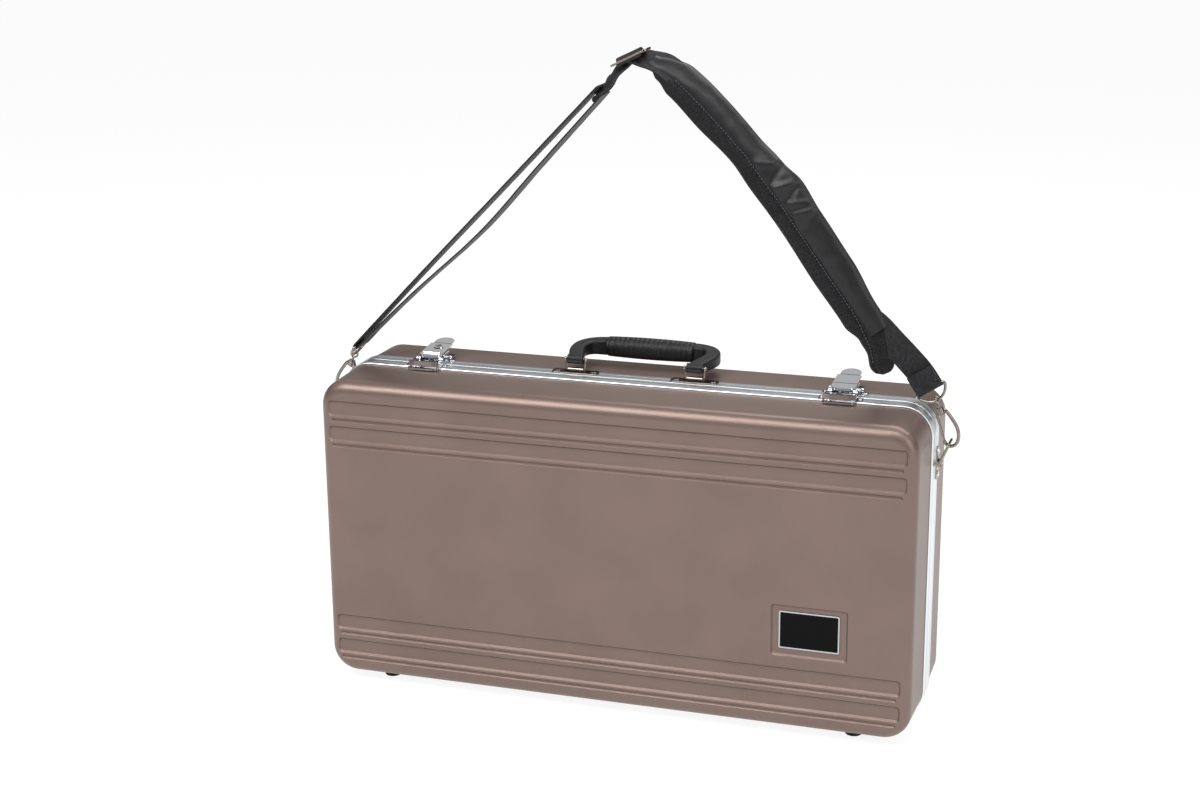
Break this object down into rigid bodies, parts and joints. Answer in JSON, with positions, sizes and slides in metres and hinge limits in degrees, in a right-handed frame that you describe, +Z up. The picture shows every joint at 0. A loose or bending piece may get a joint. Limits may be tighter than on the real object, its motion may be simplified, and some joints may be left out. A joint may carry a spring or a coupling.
{
  "type": "instrument case",
  "caption": "Rectangular hard case for a trumpet: two ribbed moulded halves in metal rims, lever latches on top, folding handle, fitted lining and a padded strap on snap hooks.",
  "frame": {"origin": "centre of the overall box, at the bottom of the feet that the closed case stands on", "axes": "+Z up, +X to the right when the badge faces the viewer, +Y away from the badge side, so the lid is the half at negative Y"},
  "size_m": [0.6106, 0.154, 0.6081],
  "materials": {
    "shell_abs": "satin metallic leather grain",
    "rim_aluminium": "satin anodised",
    "liner_plush": "plush",
    "latch_chrome": "polished",
    "hook_nickel": "polished",
    "hinge_steel": "brushed",
    "handle_leather": "grained",
    "strap_webbing": "woven",
    "pad_pile": "pile",
    "sleeve_nylon": "woven",
    "badge_black": "gloss",
    "badge_silver": "satin",
    "foot_rubber": "matt",
    "key_brass": "polished"
  },
  "bodies": {
    "base": {"base_shell": "shell_abs", "base_rim": "rim_aluminium", "base_liner": "liner_plush", "foam_top_left": "liner_plush", "foam_top_right": "liner_plush", "foam_bottom_left": "liner_plush", "foam_bottom_right": "liner_plush", "mouthpiece_block": "liner_plush", "foot_base_left": "foot_rubber", "foot_base_right": "foot_rubber", "hinge_leaf_base_left": "hinge_steel", "hinge_leaf_base_right": "hinge_steel", "hinge_pin_left": "hinge_steel", "hinge_pin_right": "hinge_steel", "base_rivets": "latch_chrome", "latch_base_left": "latch_chrome", "latch_base_right": "latch_chrome", "handle_bracket_left": "hook_nickel", "handle_bracket_right": "hook_nickel", "handle_screws": "hook_nickel", "side_plate_left": "hook_nickel", "side_plate_right": "hook_nickel"},
    "lid": {"lid_shell": "shell_abs", "lid_rim": "rim_aluminium", "lid_liner": "liner_plush", "badge_border": "badge_silver", "badge_plate": "badge_black", "foot_lid_left": "foot_rubber", "foot_lid_right": "foot_rubber", "hinge_leaf_lid_left": "hinge_steel", "hinge_leaf_lid_right": "hinge_steel", "latch_catch_left": "latch_chrome", "latch_catch_right": "latch_chrome", "lid_rivets": "latch_chrome"},
    "accessory_lid": {"accessory_lid": "liner_plush"},
    "latch_lever_left": {"latch_lever_left": "latch_chrome"},
    "latch_lever_right": {"latch_lever_right": "latch_chrome"},
    "latch_link_left": {"latch_link_left": "latch_chrome"},
    "latch_link_right": {"latch_link_right": "latch_chrome"},
    "key_cylinder": {"key_cylinder": "key_brass"},
    "handle_loops": {"handle_loop_left": "hook_nickel", "handle_loop_right": "hook_nickel"},
    "handle": {"handle_strap": "handle_leather", "handle_grip": "handle_leather"},
    "side_ring_left": {"side_ring_left": "hook_nickel"},
    "side_ring_right": {"side_ring_right": "hook_nickel"},
    "strap": {"webbing_left": "strap_webbing", "webbing_right": "strap_webbing", "webbing_top": "strap_webbing", "strap_slider": "hook_nickel", "shoulder_pad": "pad_pile", "pad_sleeve": "sleeve_nylon", "strap_dring_left": "hook_nickel", "strap_dring_right": "hook_nickel", "hook_swivel_left": "hook_nickel", "hook_swivel_right": "hook_nickel"},
    "hook_left": {"hook_frame_left": "hook_nickel"},
    "hook_right": {"hook_frame_right": "hook_nickel"},
    "hook_gate_left": {"hook_gate_left": "hook_nickel"},
    "hook_gate_right": {"hook_gate_right": "hook_nickel"}
  },
  "joints": [
    {"name": "lid_hinge", "type": "hinge", "parent": "base", "child": "lid", "pos_m": [0, 0, 0.0026], "axis": [1, 0, 0], "range_deg": [0, 100]},
    {"name": "accessory_lid_hinge", "type": "hinge", "parent": "base", "child": "accessory_lid", "pos_m": [0.175, 0.00415, 0.028], "axis": [1, 0, 0], "range_deg": [0, 85]},
    {"name": "lever_left_pivot", "type": "hinge", "parent": "base", "child": "latch_lever_left", "pos_m": [-0.2, -0.001, 0.307], "axis": [1, 0, 0], "range_deg": [0, 88]},
    {"name": "link_left_pivot", "type": "hinge", "parent": "latch_lever_left", "child": "latch_link_left", "pos_m": [-0.2, 0.0145, 0.306], "axis": [1, 0, 0], "range_deg": [-88, 0]},
    {"name": "lever_right_pivot", "type": "hinge", "parent": "base", "child": "latch_lever_right", "pos_m": [0.2, -0.001, 0.307], "axis": [1, 0, 0], "range_deg": [0, 88]},
    {"name": "link_right_pivot", "type": "hinge", "parent": "latch_lever_right", "child": "latch_link_right", "pos_m": [0.2, 0.0145, 0.306], "axis": [1, 0, 0], "range_deg": [-88, 0]},
    {"name": "key_turn", "type": "hinge", "parent": "latch_lever_left", "child": "key_cylinder", "pos_m": [-0.2, 0.02104, 0.31223], "axis": [0, -0.1132, 0.9936], "range_deg": [0, 90]},
    {"name": "handle_loops_pivot", "type": "hinge", "parent": "base", "child": "handle_loops", "pos_m": [0.0014, 0.009, 0.3056], "axis": [1, 0, 0], "range_deg": [-4, 12]},
    {"name": "handle_swing", "type": "hinge", "parent": "handle_loops", "child": "handle", "pos_m": [0.0014, 0.009, 0.3158], "axis": [1, 0, 0], "range_deg": [0, 160]},
    {"name": "side_ring_right_swing", "type": "hinge", "parent": "base", "child": "side_ring_right", "pos_m": [0.288, 0.0076, 0.246], "axis": [0, 1, 0], "range_deg": [-1, 1]},
    {"name": "side_ring_left_swing", "type": "hinge", "parent": "base", "child": "side_ring_left", "pos_m": [-0.288, 0.0076, 0.246], "axis": [0, -1, 0], "range_deg": [-1, 1]},
    {"name": "strap_swing", "type": "hinge", "parent": "base", "child": "strap", "pos_m": [0, 0.0076, 0.26633], "axis": [1, 0, 0], "range_deg": [-8, 8]},
    {"name": "hook_right_swivel", "type": "hinge", "parent": "strap", "child": "hook_right", "pos_m": [0.2869, 0.0076, 0.2948], "axis": [0.3486, 0, -0.9373], "range_deg": [-30, 30]},
    {"name": "hook_left_swivel", "type": "hinge", "parent": "strap", "child": "hook_left", "pos_m": [-0.2869, 0.0076, 0.2948], "axis": [-0.3486, 0, -0.9373], "range_deg": [-30, 30]},
    {"name": "gate_right_hinge", "type": "hinge", "parent": "hook_right", "child": "hook_gate_right", "pos_m": [0.28422, 0.0076, 0.28911], "axis": [0, -1, 0], "range_deg": [0, 20], "stiffness_Nm_per_rad": 0.01, "springref_deg": -5.73},
    {"name": "gate_left_hinge", "type": "hinge", "parent": "hook_left", "child": "hook_gate_left", "pos_m": [-0.28422, 0.0076, 0.28911], "axis": [0, 1, 0], "range_deg": [0, 20], "stiffness_Nm_per_rad": 0.01, "springref_deg": -5.73}
  ],
  "couplings": [
    {"joint": "link_left_pivot", "follows": "lever_left_pivot", "ratio": -1},
    {"joint": "link_right_pivot", "follows": "lever_right_pivot", "ratio": -1}
  ]
}
